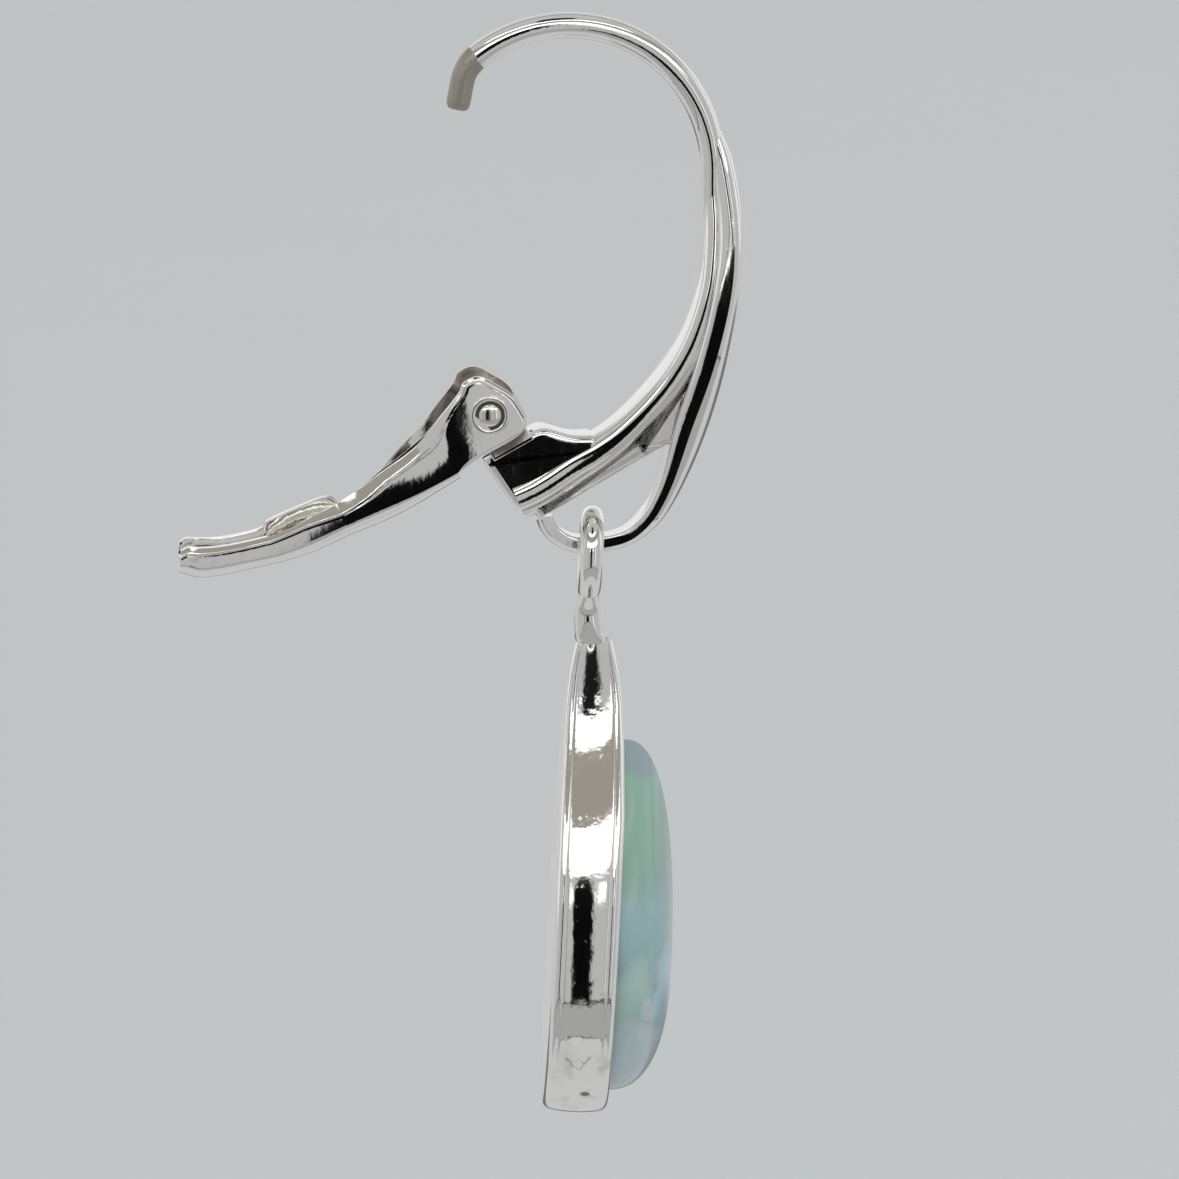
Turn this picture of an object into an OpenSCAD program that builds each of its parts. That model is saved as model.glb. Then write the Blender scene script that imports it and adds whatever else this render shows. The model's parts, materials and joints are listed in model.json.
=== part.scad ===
// Leverback earring with a pear-shaped cabochon drop, modelled open and hanging.
// Origin: the underside of the wire's arch, where the earring hangs in the ear.
// +X points to the front of the ear, +Z up; the hook and lever open in the XZ plane.

/* [Ear wire] */
// Diameter of the ear wire
wire_d = 0.87; // [0.75:0.01:1]
// Radius of the arch over the lobe, to the middle of the wire
arch_r = 4.88; // [4.4:0.02:5.4]
// Where the arch ends at the back, in degrees round from its front leg
arch_turn = 128; // [120:1:134]
// Radius of the short bend above the tip
tip_bend_r = 1.35; // [1.1:0.05:1.7]
// Turn of the short bend, in degrees
tip_bend = 41; // [34:1:46]
// Length of the straight tip
tip_l = 0.96; // [0.7:0.02:1.2]
// Thickness that the tip is ground to
tip_t = 0.62; // [0.5:0.01:0.7]

/* [Shield] */
// How far the shield stands in front of the wire's leg
shield_bulge = 0.7; // [0.5:0.02:1]
// Drop from the origin to the underside of the pendant loop
loop_drop = 17.43; // [16.2:0.05:18.6]
// Greatest width of the shield
shield_w = 3.3; // [2.9:0.05:3.7]
// Greatest thickness of the shield, with its crown
shield_t = 1.25; // [1.05:0.01:1.45]
// Thickness of the inner branch that runs to the hinge
branch_t = 1.1; // [0.9:0.01:1.3]
// Width of the web that joins branch and shield
web_w = 1.7; // [1.2:0.05:2.1]
// Width of the bar at the bottom of the loop
bar_w = 1; // [0.8:0.02:1.1]
// Thickness of the bar at the bottom of the loop
bar_t = 0.56; // [0.5:0.01:0.7]

/* [Hinge] */
// How far the hinge pin lies behind the origin
pin_back = 2.7; // [2.4:0.05:3]
// Height of the hinge pin above the underside of the loop
pin_rise = 4.94; // [4.6:0.02:5.3]
// Diameter of the hinge pin
pin_d = 0.8; // [0.7:0.01:0.9]
// Running clearance round the pin
pin_gap = 0.03; // [0.015:0.005:0.05]
// How far the pin's domed ends stand out of the lever
pin_proud = 0.08; // [0.04:0.01:0.14]
// Radius of the knuckle round the pin
knuckle_r = 0.66; // [0.6:0.01:0.72]
// Distance from the pin to the face of the hinge block
knuckle_h = 1.3; // [1.15:0.01:1.45]
// Length of the block's face
block_l = 2.45; // [2.2:0.05:2.7]
// Depth of the block behind its face
block_h = 2.7; // [2.5:0.05:2.9]
// Width of the block and knuckle
block_w = 2.1; // [1.9:0.02:2.3]
// Slope of the block's face, in degrees
block_tilt = 29.4; // [26:0.2:32]

/* [Lever] */
// Wall thickness of the channel
lever_wall = 0.36; // [0.28:0.01:0.4]
// Clearance between the knuckle and each side of the lever
side_gap = 0.04; // [0.03:0.01:0.08]
// Height of the lever's sides at the hinge
lever_h = 2.5; // [2.3:0.05:2.7]
// Clearance on each side of the wire's tip when closed
tip_gap = 0.07; // [0.04:0.01:0.12]
// How far the closed lever reaches past the wire's tip
tip_cover = 1.16; // [1:0.02:1.4]
// Direction in which the open lever points, in degrees from +X
lever_dir = 204.5; // [202:0.5:207]
// Radius cleared between the sides for the knuckle and block
relief_r = 1.85; // [1.75:0.01:1.95]

/* [Pendant] */
// Outer diameter of the ring
ring_d = 3.2; // [3:0.05:3.5]
// Thickness of the ring's wire
ring_wire = 0.8; // [0.7:0.01:0.85]
// Clearance between the ring and the edges of the bar
ring_gap = 0.05; // [0.03:0.01:0.08]
// Lean of the pendant, in degrees
pendant_lean = 3; // [0:0.5:4]
// Twist of the hanging pendant about the vertical, in degrees
pendant_twist = 3.8; // [0:0.2:6]
// Length of the teardrop setting
setting_l = 16.4; // [15.4:0.1:17.4]
// Width of the teardrop setting
setting_w = 9.5; // [9.1:0.1:10]
// Thickness of the setting
setting_t = 2.2; // [2:0.05:2.5]
// How far the setting's middle stands in front of the ring
setting_fore = 0.42; // [0.3:0.02:0.5]
// Length of the neck between ring and setting
neck_l = 1.15; // [0.9:0.05:1.4]
// Diameter of the neck
neck_d = 0.92; // [0.75:0.01:1]

/* [Stone] */
// Length of the stone
stone_l = 12; // [11.4:0.1:12.4]
// Width of the stone
stone_w = 8; // [7.7:0.1:8.2]
// Height of the dome above the setting
dome_h = 1.95; // [1.6:0.05:2.3]
// Depth of the seat that holds the stone
seat_depth = 1.3; // [1:0.05:1.5]
// Clearance round the stone in its seat
seat_gap = 0.05; // [0.04:0.01:0.08]
// Width of the setting below the stone
lower_rim = 0.86; // [0.7:0.02:1]

/* [Hidden] */
$fn = 48;
overlap = 0.2;
// A small step that keeps two surfaces from meeting exactly.
step = 0.02;
// Height of the channel's inner floor at its sides, in share of the wall.
inner_start = 0.6;
// The wire slims a little at its bend and again at its tip, and each part starts inside the last.
bend_slim = 0.98;
tip_slim = 0.96;
lap_turn = 5;
lap = 0.1;

arch_c = [0, wire_d / 2 - arch_r];
bend_c = arch_c + (arch_r - tip_bend_r) * dir2(arch_turn);
tip_dir = arch_turn + tip_bend;
tip_end = bend_c + tip_bend_r * dir2(tip_dir) + tip_l * dir2(tip_dir + 90);
front_x = arch_r + wire_d / 2 + shield_bulge;
pin = [-pin_back, pin_rise - loop_drop];

block_face = knuckle_h;
leg_foot = 0.36 * loop_drop;

lever_w = block_w + 2 * (side_gap + lever_wall);
lever_tip_w = wire_d + 2 * (tip_gap + lever_wall);
lever_l = norm(tip_end - pin) + tip_cover;

ring_r = (ring_d - ring_wire) / 2;
hole_r = ring_r - ring_wire / 2;
bar_x = 0.131 * front_x;
ring_z = bar_t - loop_drop - sqrt(pow(hole_r - ring_gap, 2) - pow(bar_w / 2, 2));
setting_top = ring_d / 2 + neck_l;
neck_foot = setting_top + 0.16 * setting_t;
stone_top = setting_top + setting_l - lower_rim - stone_l;
setting_front = setting_fore + setting_t / 2;
pin_dome = 0.6;

// Columns: x, z, thickness and width of the shield along its outer face, then its crown.
// Shares of front_x, loop_drop, shield_t, shield_w and of the thickness there.
shield_rows = [
    [0.760, 0.135, 0.28, 0.12, 0.5],
    [0.836, 0.166, 0.40, 0.18, 0.5],
    [0.872, 0.191, 0.50, 0.28, 0.5],
    [0.908, 0.220, 0.60, 0.44, 0.5],
    [0.938, 0.251, 0.67, 0.61, 0.5],
    [0.970, 0.302, 0.75, 0.82, 0.46],
    [0.991, 0.352, 0.79, 0.95, 0.42],
    [0.998, 0.410, 0.80, 1.0, 0.40],
    [0.978, 0.485, 0.82, 1.0, 0.40],
    [0.940, 0.557, 0.86, 0.98, 0.41],
    [0.896, 0.630, 0.92, 0.92, 0.43],
    [0.845, 0.698, 0.97, 0.83, 0.46],
    [0.786, 0.760, 0.98, 0.74, 0.48],
    [0.718, 0.820, 0.85, 0.66, 0.49],
    [0.645, 0.873, 0.69, 0.58, 0.48],
    [0.580, 0.913, 0.61, 0.51, 0.46],
    [0.515, 0.944, 0.55, 0.45, 0.43],
    [0.425, 0.970, 0.49, 0.37, 0.36]
];
// The bar of the loop, in shares of front_x and loop_drop.
bar_rows = [
    [0.340, 0.986],
    [0.230, 0.996],
    [0.110, 1.000],
    [0.005, 0.996],
    [-0.091, 0.979],
    [-0.155, 0.952],
    [-0.177, 0.932]
];
bar_crown = 0.3;

// Columns: x and z of the branch's middle, thickness and width.
// Shares of the span from pin to leg, of loop_drop, branch_t and shield_w.
branch_rows = [
    [1.000, 0.258, 0.45, 0.15],
    [1.001, 0.304, 0.66, 0.40],
    [1.005, 0.356, 0.74, 0.60],
    [1.001, 0.407, 0.80, 0.68],
    [0.989, 0.465, 0.84, 0.72],
    [0.964, 0.516, 0.88, 0.74],
    [0.923, 0.571, 0.92, 0.74],
    [0.867, 0.622, 0.94, 0.74],
    [0.788, 0.674, 0.94, 0.73],
    [0.689, 0.723, 0.94, 0.71],
    [0.590, 0.765, 0.99, 0.68],
    [0.488, 0.799, 1.12, 0.65],
    [0.383, 0.827, 1.22, 0.63],
    [0.277, 0.858, 1.22, 0.63]
];

// The web and its fin from the side, in shares of front_x and loop_drop.
web_outline = [
    [0.66, 0.60],
    [0.80, 0.60],
    [0.665, 0.769],
    [0.607, 0.789],
    [0.549, 0.785],
    [0.515, 0.792],
    [0.10, 0.876],
    [0.10, 0.826],
    [0.432, 0.740]
];
// The hinge block from the side, in shares of block_l and, below its face, of block_h.
block_outline = [
    [-0.40, 0],
    [0.60, 0],
    [0.94, 0.35],
    [0.70, 1],
    [-0.20, 1],
    [-0.30, 0.85],
    [-0.36, 0.60]
];
// Breadth of the knuckle's foot, in share of its radius.
knuckle_foot = 1.4;

// Columns: place along the lever, top of the near side, top of the far side,
// lower edge of the flat sides, crown of the back, width.
// Shares of lever_l, then of lever_h, then from lever_w (0) to lever_tip_w (1).
lever_rows = [
    [-0.097, -0.20, -0.20, -0.26, -0.27, 0],
    [-0.087, 0.09, 0.09, -0.34, -0.42, 0],
    [-0.059, 0.31, 0.31, -0.42, -0.53, 0],
    [-0.018, 0.53, 0.53, -0.45, -0.58, 0],
    [0.030, 0.54, 0.54, -0.46, -0.60, 0],
    [0.056, 0.44, 0.44, -0.47, -0.61, 0],
    [0.132, 0.26, 0.26, -0.51, -0.65, 0.05],
    [0.193, 0.12, 0.12, -0.54, -0.69, 0.15],
    [0.290, -0.02, -0.04, -0.57, -0.75, 0.34],
    [0.366, -0.10, -0.20, -0.57, -0.78, 0.48],
    [0.437, -0.20, -0.34, -0.56, -0.78, 0.60],
    [0.508, -0.25, -0.36, -0.56, -0.76, 0.70],
    [0.534, -0.26, -0.20, -0.56, -0.76, 0.73],
    [0.640, -0.28, -0.16, -0.56, -0.76, 0.85],
    [0.727, -0.27, -0.16, -0.53, -0.71, 0.91],
    [0.757, -0.25, -0.21, -0.51, -0.68, 0.93],
    [0.854, -0.15, -0.12, -0.40, -0.58, 0.97],
    [0.935, -0.02, 0.02, -0.27, -0.44, 1],
    [0.975, 0.06, 0.09, -0.15, -0.31, 1],
    [1.000, 0.06, 0.08, -0.10, -0.22, 1]];
// Slant of the lever's end face, in share of its height, eased in over the last part.
end_slant = 0.6;
slant_from = 0.85;

// Columns: place through the setting from back (-1) to front (1), step in from the outline.
// The inset is a share of setting_t: a rounded back edge, a rim, the crowned flank, a rim.
flank_rows = [
    [-1.00, 0.14],
    [-0.93, 0.06],
    [-0.80, 0.03],
    [-0.74, 0.055],
    [-0.45, 0.015],
    [0.00, 0.0],
    [0.45, 0.015],
    [0.74, 0.055],
    [0.80, 0.03],
    [0.93, 0.04],
    [1.00, 0.10]
];
// Columns: share of setting_l below the top, share of setting_t there.
setting_taper = [[0, 0.5], [0.04, 0.65], [0.084, 0.78], [0.13, 0.86], [0.21, 0.93], [0.34, 1], [1, 1]];

outline_steps = 24;
drop_soft = 0.85;
drop_peak = 0.7945;
dome_steps = 7;
dome_power = 0.87;

function dir2(a) = [cos(a), sin(a)];
function mix(a, b, t) = a + (b - a) * t;
function flip(list) = [for (i = [len(list) - 1:-1:0]) list[i]];

// One span of a smooth curve through rows of numbers (Catmull-Rom).
function blend4(a, b, c, d, t) =
    0.5 * (2 * b + (c - a) * t + (2 * a - 5 * b + 4 * c - d) * t * t
    + (3 * b - a - 3 * c + d) * t * t * t);
function smooth(rows, n) = [
    for (i = [0:len(rows) - 2])
        for (j = [0:n - 1])
            blend4(rows[max(i - 1, 0)], rows[i], rows[i + 1], rows[min(i + 2, len(rows) - 1)], j / n),
    rows[len(rows) - 1]
];

// Unit tangent and right-hand normal of a path of [x, z] points at point i.
function tangent(p, i) =
    let (d = p[min(i + 1, len(p) - 1)] - p[max(i - 1, 0)])
    d / norm(d);
function normal(p, i) = let (t = tangent(p, i)) [t[1], -t[0]];

// Places a flat section of [offset, y] points across the path at point i.
function across(p, i, section) =
    let (n = normal(p, i))
    [for (s = section) [p[i][0] + s[0] * n[0], s[1], p[i][1] + s[0] * n[1]]];

// A solid skinned over rings with equal, even numbers of points.
// Each ring is mirrored end to end, so strips between opposite points close both ends.
module skin(rings) {
    n = len(rings[0]);
    last = len(rings) - 1;
    sides = [for (i = [0:last - 1]) for (k = [0:n - 1])
        let (a = i * n + k, b = i * n + (k + 1) % n)
        each [[a, a + n, b + n], [a, b + n, b]]];
    caps = [for (k = [0:n / 2 - 2])
        let (o = last * n, m = n - 1 - k)
        each [[k, k + 1, m - 1], [k, m - 1, m], [o + k, o + m - 1, o + k + 1], [o + k, o + m, o + m - 1]]];
    polyhedron(points = [for (r = rings) each r], faces = concat(sides, caps));
}

// Closes a half section of [depth, y] points across the plane of symmetry.
function closed(half) = concat([for (p = half) [p[0], -p[1]]], flip(half));

// Band section: a crowned outer face at depth 0, sides, and a flat inner face at depth t.
function band(t, w, crown) =
    let (rise = t * crown, e = 0.12 * t)
    closed(concat(
        [for (a = [12, 35, 60]) [rise * (1 - cos(a)), w / 2 * sin(a)]],
        [[rise, w / 2], [t - e, w / 2], [t, w / 2 - e]]));

// Branch section: a rounded rectangle about the path.
function bar(t, w) =
    let (e = 0.28 * t, side = [[0, e], [0.3 * e, 0.3 * e], [e, 0]])
    closed(concat(
        [for (p = side) [p[0] - t / 2, w / 2 - p[1]]],
        [for (p = flip(side)) [t / 2 - p[0], w / 2 - p[1]]]));

module across_y(w) {
    rotate([90, 0, 0]) linear_extrude(height = w, center = true) children();
}

module at_pin(turn) {
    translate([pin[0], 0, pin[1]]) rotate([0, turn, 0]) children();
}

module pin_bore(r) {
    across_y(lever_w + 2 * overlap) circle(r = r);
}

// The ear wire: a leg, the arch, the short bend and the ground tip.
module wire_section() {
    circle(d = wire_d);
}

module ground_section(slim) {
    intersection() {
        circle(d = wire_d * slim);
        square([tip_t * slim, 2 * wire_d], center = true);
    }
}

module ear_wire() {
    translate([arch_c[0], 0, arch_c[1]]) rotate([90, 0, 0])
        rotate_extrude(angle = arch_turn) translate([arch_r, 0]) wire_section();
    translate([bend_c[0], 0, bend_c[1]]) rotate([90, 0, 0]) rotate([0, 0, arch_turn]) {
        rotate([0, 0, -lap_turn]) rotate_extrude(angle = tip_bend + lap_turn)
            translate([tip_bend_r, 0]) ground_section(bend_slim);
        rotate([0, 0, tip_bend]) translate([tip_bend_r, -lap, 0])
            rotate([-90, 0, 0]) linear_extrude(height = tip_l + lap) ground_section(tip_slim);
    }
    translate([arch_r, 0, -leg_foot]) linear_extrude(height = leg_foot + arch_c[1]) wire_section();
}

// The crowned shield, narrowing into the bar of the pendant loop.
module shield() {
    rows = smooth(concat(
        [for (r = shield_rows) [r[0] * front_x, -r[1] * loop_drop, r[2] * shield_t, r[3] * shield_w, r[4]]],
        [for (r = bar_rows) [r[0] * front_x, -r[1] * loop_drop, bar_t, bar_w, bar_crown]]
    ), 2);
    path = [for (r = rows) [r[0], r[1]]];
    skin([for (i = [0:len(rows) - 1])
        across(path, i, band(rows[i][2], rows[i][3], rows[i][4]))]);
}

// The inner branch from the leg to the hinge block.
module branch() {
    span = arch_r + pin_back;
    rows = smooth([for (r = branch_rows)
        [pin[0] + r[0] * span, -r[1] * loop_drop, r[2] * branch_t, r[3] * shield_w]], 2);
    path = [for (r = rows) [r[0], r[1]]];
    skin([for (i = [0:len(rows) - 1]) across(path, i, bar(rows[i][2], rows[i][3]))]);
}

// The web that fills the fork, with the straight fin under the branch.
module web() {
    across_y(web_w) polygon([for (p = web_outline) [p[0] * front_x, -p[1] * loop_drop]]);
}

// The hinge block with its knuckle, drawn with the pin at the centre.
module block() {
    root = -block_face - overlap;
    at_pin(-block_tilt) across_y(block_w) {
        difference() {
            union() {
                polygon([for (p = block_outline) [p[0] * block_l, -block_face - p[1] * block_h]]);
                polygon([[-knuckle_r, 0], [knuckle_r, 0], [knuckle_foot * knuckle_r, root], [-knuckle_r, root]]);
                circle(r = knuckle_r);
            }
            circle(d = pin_d + 2 * pin_gap);
        }
    }
}

module ear_hook() {
    color("silver") {
        ear_wire();
        shield();
        branch();
        web();
        block();
    }
}

// Channel section: outer wall from the near top round the crowned back to the far top,
// then the inner wall back again.
function channel(near, far, flat, crown, w) =
    let (
        v = w / 2 - lever_wall,
        arc = [for (a = [0:30:180]) a],
        outer = concat([[near, -w / 2]],
            [for (a = arc) [flat + (crown - flat) * sin(a), -w / 2 * cos(a)]],
            [[far, w / 2]]),
        inner = concat([[near, -v]],
            [for (a = arc) [
                min(near - step, flat + lever_wall * inner_start
                    + (crown - flat + lever_wall * (1 - inner_start)) * sin(a)),
                -v * cos(a)]],
            [[far, v]])
    )
    concat(outer, flip(inner));

function slant(s) = end_slant * max(0, s - slant_from) / (1 - slant_from);

module lever() {
    rows = smooth(lever_rows, 2);
    color("silver") at_pin(-lever_dir) difference() {
        mirror([0, 0, 1]) skin([for (i = [0:len(rows) - 1])
            let (r = rows[i], w = mix(lever_w, lever_tip_w, r[5]))
            [for (p = channel(r[1] * lever_h, r[2] * lever_h, r[3] * lever_h, r[4] * lever_h, w))
                [r[0] * lever_l - slant(r[0]) * p[0], p[1], p[0]]]]);
        across_y(lever_w - 2 * lever_wall + step) circle(r = relief_r);
        pin_bore(pin_d / 2 + pin_gap);
    }
}

module hinge_pin() {
    shaft = lever_w - 2 * lap;
    color("gainsboro") at_pin(0) rotate([90, 0, 0]) {
        cylinder(d = pin_d, h = shaft, center = true);
        for (side = [0, 180])
            rotate([side, 0, 0]) translate([0, 0, shaft / 2])
                cylinder(d1 = pin_d, d2 = pin_dome * pin_d, h = lap + pin_proud);
    }
}

// Half breadth of a teardrop with a softly rounded point, 1 at its widest, at angle a from the point.
function drop_y(a) = sin(a) * pow(sin(a / 2), drop_soft) / drop_peak;
// Outline of a teardrop from near its point down one side and up the other.
function drop(l, w, top) =
    let (half = [for (i = [0.5:1:outline_steps]) let (a = 180 * i / outline_steps)
        [w / 2 * drop_y(a), -top - l * (1 - cos(a)) / 2]])
    concat([for (p = half) [-p[0], p[1]]], flip(half));

function taper(z) = lookup((-z - setting_top) / setting_l, setting_taper);

module pendant_frame() {
    translate([bar_x, 0, ring_z]) rotate([0, pendant_lean, -pendant_twist]) children();
}

module pendant_setting() {
    flank = [for (r = flank_rows)
        let (inset = r[1] * setting_t)
        [for (p = drop(setting_l - 2 * inset, setting_w - 2 * inset, setting_top + inset))
            [r[0] * taper(p[1]), p[0], p[1]]]];
    seat = drop(stone_l + 2 * seat_gap, stone_w + 2 * seat_gap, stone_top - seat_gap);
    floor_x = 1 - 2 * (seat_depth + seat_gap) / setting_t;
    rings = concat(flank, [for (d = [1, floor_x]) [for (p = seat) [d, p[0], p[1]]]]);
    color("silver") pendant_frame() {
        rotate([0, 90, 0]) rotate_extrude() translate([ring_r, 0]) circle(d = ring_wire);
        translate([0, 0, -neck_foot]) cylinder(d = neck_d, h = neck_foot - ring_r);
        translate([setting_fore, 0, 0]) skin([for (r = rings) [for (p = r)
            [p[0] * setting_t / 2, p[1], p[2]]]]);
    }
}

// The cabochon: a flat base in the seat, straight sides, and a full dome.
module opal_stone() {
    base = drop(stone_l, stone_w, stone_top);
    centre = -stone_top - 2 / 3 * stone_l;
    floor_x = setting_front - seat_depth;
    dome = [for (i = [0:dome_steps])
        let (a = 88 * i / dome_steps, reach = pow(cos(a), dome_power), rise = pow(sin(a), dome_power))
        [for (p = base) [setting_front + dome_h * rise, p[0] * reach, mix(centre, p[1], reach)]]];
    color("mediumaquamarine") pendant_frame()
        skin(concat([[for (p = base) [floor_x, p[0], p[1]]]], dome));
}

ear_hook();
lever();
hinge_pin();
pendant_setting();
opal_stone();
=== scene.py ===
# %% [markdown]
# # A silver leverback earring with an opal drop
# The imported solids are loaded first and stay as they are. Every piece that shows is then built as a smooth
# surface over them, in millimetres, and turned to metres when its mesh is made.

# %% Load the frame
import bpy
import bmesh
import json
import math
import numpy as np
from mathutils import Matrix, Vector


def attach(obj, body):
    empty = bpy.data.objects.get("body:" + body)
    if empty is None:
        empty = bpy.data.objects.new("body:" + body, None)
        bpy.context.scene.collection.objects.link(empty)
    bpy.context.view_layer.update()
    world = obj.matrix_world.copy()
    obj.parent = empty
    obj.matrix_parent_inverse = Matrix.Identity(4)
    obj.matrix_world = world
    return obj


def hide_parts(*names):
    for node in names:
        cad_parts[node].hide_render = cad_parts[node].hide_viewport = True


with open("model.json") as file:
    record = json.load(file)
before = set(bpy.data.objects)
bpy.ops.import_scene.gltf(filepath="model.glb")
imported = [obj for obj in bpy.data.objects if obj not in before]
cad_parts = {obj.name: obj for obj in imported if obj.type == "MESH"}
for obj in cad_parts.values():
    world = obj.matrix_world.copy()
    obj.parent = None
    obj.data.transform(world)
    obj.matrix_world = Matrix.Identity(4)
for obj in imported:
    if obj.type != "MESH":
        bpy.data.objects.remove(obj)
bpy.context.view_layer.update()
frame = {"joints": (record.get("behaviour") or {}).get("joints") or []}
MM = 0.001

# %% [markdown]
# The joints of the frame give the two places that everything else hangs on: the hinge pin of the lever and the
# middle of the pendant's ring. Reading them keeps the looks and the moving parts together.

# %% Places read from the frame
joints = {j["name"]: j for j in frame["joints"]}
hinge_at = np.array(joints["lever_hinge"]["pos_m"]) / MM
ring_at = np.array(joints["pendant_swing"]["pos_m"]) / MM
ring_axis = np.array(joints["pendant_swing"]["axis"])
print("hinge pin at", hinge_at.round(3), "ring at", ring_at.round(3))

# %% [markdown]
# A polished piece of jewellery is all smooth curves, and its highlights show every flaw. So each shape is a grid of
# points worked out with numpy: one direction runs along the piece, and the other runs round its section.

# %% Curves through a table's rows
def through(rows, steps):
    """A smooth curve through rows of numbers (Catmull-Rom): half of 2b + (c - a)t + (2a - 5b + 4c - d)t^2
    + (3b - a - 3c + d)t^3 between rows b and c, with a and d as their neighbours."""
    p = np.asarray(rows, float)
    q = np.vstack([p[:1], p, p[-1:]])
    a, b, c, d = q[:-3, None], q[1:-2, None], q[2:-1, None], q[3:, None]
    t = (np.arange(steps) / steps)[None, :, None]
    spans = 0.5 * (2 * b + (c - a) * t + (2 * a - 5 * b + 4 * c - d) * t ** 2 + (3 * b - a - 3 * c + d) * t ** 3)
    return np.vstack([spans.reshape(-1, p.shape[1]), p[-1:]])


def unit(v):
    """Vectors scaled to length 1."""
    return v / np.linalg.norm(v, axis=-1, keepdims=True)


def carry(path, section):
    """Sections of (depth, y) points carried along a path of (x, z) points. Depth is laid along the path's
    right-hand normal, (t_z, -t_x) for a tangent t."""
    t = unit(np.gradient(path, axis=0))
    n = np.stack([t[:, 1], -t[:, 0]], -1)
    depth, y = section[..., 0], section[..., 1]
    return np.stack([path[:, None, 0] + depth * n[:, None, 0], y, path[:, None, 1] + depth * n[:, None, 1]], -1)


def fillet(points, radius, steps=6):
    """A closed outline whose corners are rounded: at each corner an arc, drawn as a quadratic curve from
    radius before the corner to radius after it, (1-t)^2 p + 2t(1-t) corner + t^2 q."""
    c = np.asarray(points, float)
    before, after = np.roll(c, 1, 0) - c, np.roll(c, -1, 0) - c
    reach = np.minimum(np.linalg.norm(before, axis=1), np.linalg.norm(after, axis=1)) * 0.48
    r = np.minimum(np.broadcast_to(radius, reach.shape), reach)[:, None]
    p, q = c + unit(before) * r, c + unit(after) * r
    t = np.linspace(0, 1, steps)[None, :, None]
    return ((1 - t) ** 2 * p[:, None] + 2 * t * (1 - t) * c[:, None] + t ** 2 * q[:, None]).reshape(-1, 2)


# %% [markdown]
# A grid becomes a mesh in the same way for every piece, so this one function does it. It also lets the piece ride
# its body, and says which imported solid it stands for.

# %% Meshes from grids
def build(name, grid, body, finish, closed_ends=True, crease=38, replaces=None, slot=None):
    """A mesh from a grid of points in millimetres: row i, column j is joined to i + 1 and to j + 1. Rows run
    along the piece, columns round its closed section, and each open end gets one flat face. Points that fall
    together are merged, and edges sharper than the crease in degrees stay sharp."""
    rows, cols = grid.shape[:2]
    index = np.arange(rows * cols).reshape(rows, cols)
    nxt = np.roll(index, -1, axis=1)
    quads = np.stack([index[:-1], nxt[:-1], nxt[1:], index[1:]], -1).reshape(-1, 4).tolist()
    caps = [index[0].tolist(), index[-1][::-1].tolist()] if closed_ends else []
    mesh = bpy.data.meshes.new(name)
    mesh.from_pydata((grid.reshape(-1, 3) * MM).tolist(), [], quads + caps)
    bm = bmesh.new()
    bm.from_mesh(mesh)
    bmesh.ops.remove_doubles(bm, verts=bm.verts, dist=1e-7)
    bmesh.ops.recalc_face_normals(bm, faces=bm.faces)
    bm.to_mesh(mesh)
    bm.free()
    mesh.shade_smooth()
    mesh.set_sharp_from_angle(angle=math.radians(crease))
    piece = bpy.data.objects.new(name, mesh)
    bpy.context.scene.collection.objects.link(piece)
    mesh.materials.append(finish)
    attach(piece, body)
    if replaces:
        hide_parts(*replaces)
    print(f"{name}: {len(mesh.polygons)} faces")
    return piece


# %% [markdown]
# Shader sums read best as plain expressions. This class wraps one socket, so that `1 - mask * 0.3` adds the two
# Math nodes it needs, and its method `add` makes any other node.

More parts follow.
